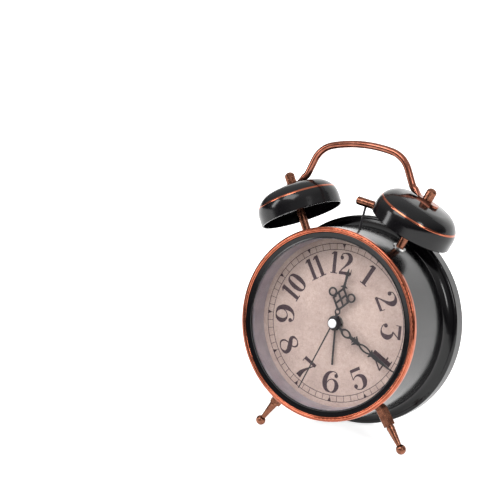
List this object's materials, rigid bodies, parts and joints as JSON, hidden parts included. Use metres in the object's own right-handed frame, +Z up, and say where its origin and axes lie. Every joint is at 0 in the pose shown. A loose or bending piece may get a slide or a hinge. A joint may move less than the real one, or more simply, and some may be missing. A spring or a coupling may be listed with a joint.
{
  "type": "alarm clock",
  "caption": "Round battery alarm clock with a bell on a post at each side of its top, a hammer between them, a bent-rod handle and ball feet.",
  "frame": {"origin": "middle of the bounding box in X and Y, on the surface that the clock stands on", "axes": "+X to the right of someone reading the dial, +Y away from them, +Z up; the clock leans back about X by 11.99 degrees"},
  "size_m": [0.117, 0.0721, 0.16],
  "materials": {
    "black_paint": "gloss black stove enamel on pressed steel",
    "copper_plate": "bright rose copper plate, lacquered",
    "antique_copper": "antiqued copper plate",
    "steel": "plain zinc-plated steel",
    "glass": "clear flat glass",
    "cream_plastic": "moulded",
    "dial_print": "printed card",
    "hand_black": "satin black",
    "silver_cap": "polished",
    "white_plastic": "moulded acetal",
    "black_plastic": "fine moulded texture",
    "switch_plastic": "moulded",
    "brass": "turned",
    "magnet": "sintered ferrite",
    "coil_wire": "enamelled copper wire",
    "board": "solder resist",
    "battery_case": "lacquered steel can"
  },
  "bodies": {
    "case": {"case_shell": "black_paint", "bezel_ring": "copper_plate", "inner_bezel": "black_paint", "lens": "glass", "lens_gasket": "cream_plastic", "dial_wall": "cream_plastic", "dial": "dial_print", "neck_nut": "steel", "rear_cover": "black_plastic", "rear_cover_screws": "steel", "bell_left": "black_paint", "bell_post_left": "antique_copper", "cap_nut_left": "antique_copper", "foot_left": "antique_copper", "bell_right": "black_paint", "bell_post_right": "antique_copper", "cap_nut_right": "antique_copper", "foot_right": "antique_copper", "post_washers": "steel", "post_nuts": "steel", "foot_nuts": "steel", "handle": "copper_plate", "hammer_pivot": "steel", "hammer_bracket": "steel", "bracket_screws": "steel", "striking_motor": "steel", "movement_front": "white_plastic", "movement_rear": "white_plastic", "movement_screws": "steel", "stator": "steel", "coil": "coil_wire", "circuit_board": "board", "alarm_switch_body": "black_plastic", "battery_box": "black_plastic", "battery": "battery_case", "battery_contact_plus": "steel", "battery_contact_minus": "steel"},
    "minute": {"minute_hand": "hand_black", "cannon_pinion": "white_plastic"},
    "hour": {"hour_hand": "hand_black", "hour_wheel": "white_plastic"},
    "motion": {"motion_wheel": "white_plastic"},
    "second": {"second_hand": "hand_black", "hand_cap": "silver_cap", "seconds_arbor": "white_plastic"},
    "transfer": {"transfer_wheel": "white_plastic"},
    "rotor": {"rotor": "magnet"},
    "alarm": {"alarm_hand": "hand_black", "alarm_wheel": "white_plastic"},
    "time_set": {"time_set_arbor": "brass", "time_set_knob": "black_plastic"},
    "alarm_set": {"alarm_set_arbor": "brass", "alarm_set_knob": "black_plastic"},
    "hammer": {"hammer_head": "antique_copper", "hammer_tips": "steel", "hammer_arm": "hand_black", "hammer_rocker": "steel"},
    "crank": {"motor_crank": "brass"},
    "switch": {"alarm_switch": "switch_plastic"},
    "door": {"battery_door": "black_plastic"}
  },
  "joints": [
    {"name": "minute_turn", "type": "hinge", "parent": "case", "child": "minute", "pos_m": [0, -0.01113, 0.06444], "axis": [0, 0.9782, -0.2077], "continuous": true},
    {"name": "hour_turn", "type": "hinge", "parent": "case", "child": "hour", "pos_m": [0, -0.01113, 0.06444], "axis": [0, 0.9782, -0.2077], "continuous": true},
    {"name": "motion_turn", "type": "hinge", "parent": "case", "child": "motion", "pos_m": [-0.01039, -0.00989, 0.07031], "axis": [0, 0.9782, -0.2077], "continuous": true},
    {"name": "time_set_turn", "type": "hinge", "parent": "case", "child": "time_set", "pos_m": [-0.02079, -0.01113, 0.06444], "axis": [0, 0.9782, -0.2077], "continuous": true},
    {"name": "second_turn", "type": "hinge", "parent": "case", "child": "second", "pos_m": [0, -0.01113, 0.06444], "axis": [0, 0.9782, -0.2077], "continuous": true},
    {"name": "transfer_turn", "type": "hinge", "parent": "case", "child": "transfer", "pos_m": [0, -0.00859, 0.07643], "axis": [0, 0.9782, -0.2077], "continuous": true},
    {"name": "rotor_turn", "type": "hinge", "parent": "case", "child": "rotor", "pos_m": [0.009, -0.00859, 0.07643], "axis": [0, 0.9782, -0.2077], "continuous": true},
    {"name": "alarm_turn", "type": "hinge", "parent": "case", "child": "alarm", "pos_m": [0, -0.01113, 0.06444], "axis": [0, 0.9782, -0.2077], "continuous": true},
    {"name": "alarm_set_turn", "type": "hinge", "parent": "case", "child": "alarm_set", "pos_m": [0.0128, -0.01113, 0.06444], "axis": [0, 0.9782, -0.2077], "continuous": true},
    {"name": "hammer_swing", "type": "hinge", "parent": "case", "child": "hammer", "pos_m": [0, 0.00703, 0.09943], "axis": [0, 0.9782, -0.2077], "range_deg": [-20.75, 0]},
    {"name": "crank_turn", "type": "hinge", "parent": "case", "child": "crank", "pos_m": [0, 0.00412, 0.08574], "axis": [0, 0.9782, -0.2077], "continuous": true},
    {"name": "switch_slide", "type": "slide", "parent": "case", "child": "switch", "axis": [1, 0, 0], "range_m": [0, 0.005]},
    {"name": "door_hinge", "type": "hinge", "parent": "case", "child": "door", "pos_m": [0, 0.0144, 0.01956], "axis": [1, 0, 0], "range_deg": [-100, 0]}
  ],
  "couplings": [
    {"joint": "motion_turn", "follows": "minute_turn", "ratio": -0.33333},
    {"joint": "hour_turn", "follows": "minute_turn", "ratio": 0.083333},
    {"joint": "time_set_turn", "follows": "minute_turn", "ratio": 1},
    {"joint": "transfer_turn", "follows": "second_turn", "ratio": -6},
    {"joint": "rotor_turn", "follows": "second_turn", "ratio": 30},
    {"joint": "alarm_set_turn", "follows": "alarm_turn", "ratio": -3}
  ]
}
